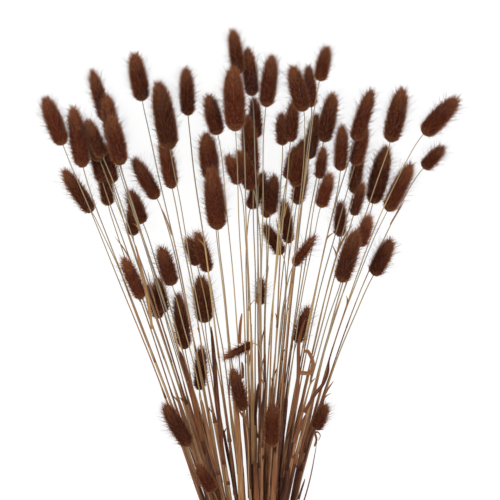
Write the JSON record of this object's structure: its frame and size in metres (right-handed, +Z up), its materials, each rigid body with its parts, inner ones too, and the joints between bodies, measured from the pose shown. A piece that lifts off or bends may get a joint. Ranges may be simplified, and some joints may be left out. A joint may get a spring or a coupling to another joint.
{
  "type": "dried bunny tail grass bunch",
  "caption": "Tied bunch of dried bunny tail grass lying down: long thin stems with soft furry brown seed heads fanned out.",
  "frame": {"origin": "on the surface that the bunch lies on, under the middle of its bounding box", "axes": "+Y along the bunch, from the tied stems to the seed heads; +Z up, the bunch's shortest side"},
  "size_m": [0.3778, 0.6068, 0.0951],
  "materials": {
    "dried_seed_head": "soft dry fur of fine bristles, dark brown with lighter tips",
    "dried_stem": "dry ribbed straw, satin",
    "jute_twine": "rough twisted natural fibre"
  },
  "bodies": {
    "root": {"heads_01": "dried_seed_head", "head_02": "dried_seed_head", "head_03": "dried_seed_head", "head_04": "dried_seed_head", "head_05": "dried_seed_head", "head_06": "dried_seed_head", "head_07": "dried_seed_head", "head_08": "dried_seed_head", "head_09": "dried_seed_head", "heads_10": "dried_seed_head", "heads_11": "dried_seed_head", "heads_12": "dried_seed_head", "head_13": "dried_seed_head", "head_14": "dried_seed_head", "heads_15": "dried_seed_head", "head_16": "dried_seed_head", "heads_17": "dried_seed_head", "head_18": "dried_seed_head", "head_19": "dried_seed_head", "head_20": "dried_seed_head", "heads_21": "dried_seed_head", "head_22": "dried_seed_head", "head_23": "dried_seed_head", "heads_24": "dried_seed_head", "head_25": "dried_seed_head", "head_26": "dried_seed_head", "heads_27": "dried_seed_head", "heads_28": "dried_seed_head", "heads_29": "dried_seed_head", "heads_30": "dried_seed_head", "heads_31": "dried_seed_head", "heads_32": "dried_seed_head", "head_33": "dried_seed_head", "head_34": "dried_seed_head", "head_35": "dried_seed_head", "head_36": "dried_seed_head", "head_37": "dried_seed_head", "head_38": "dried_seed_head", "head_39": "dried_seed_head", "head_40": "dried_seed_head", "head_41": "dried_seed_head", "head_42": "dried_seed_head", "head_43": "dried_seed_head", "head_44": "dried_seed_head", "heads_45": "dried_seed_head", "head_46": "dried_seed_head", "head_47": "dried_seed_head", "head_48": "dried_seed_head", "head_49": "dried_seed_head", "head_50": "dried_seed_head", "head_51": "dried_seed_head", "head_52": "dried_seed_head", "stems_layer_1": "dried_stem", "stems_layer_2": "dried_stem", "stems_layer_3": "dried_stem", "stems_layer_4": "dried_stem", "stems_layer_5": "dried_stem", "stems_layer_6": "dried_stem", "stems_layer_7": "dried_stem", "twine_tie": "jute_twine"}
  },
  "joints": []
}
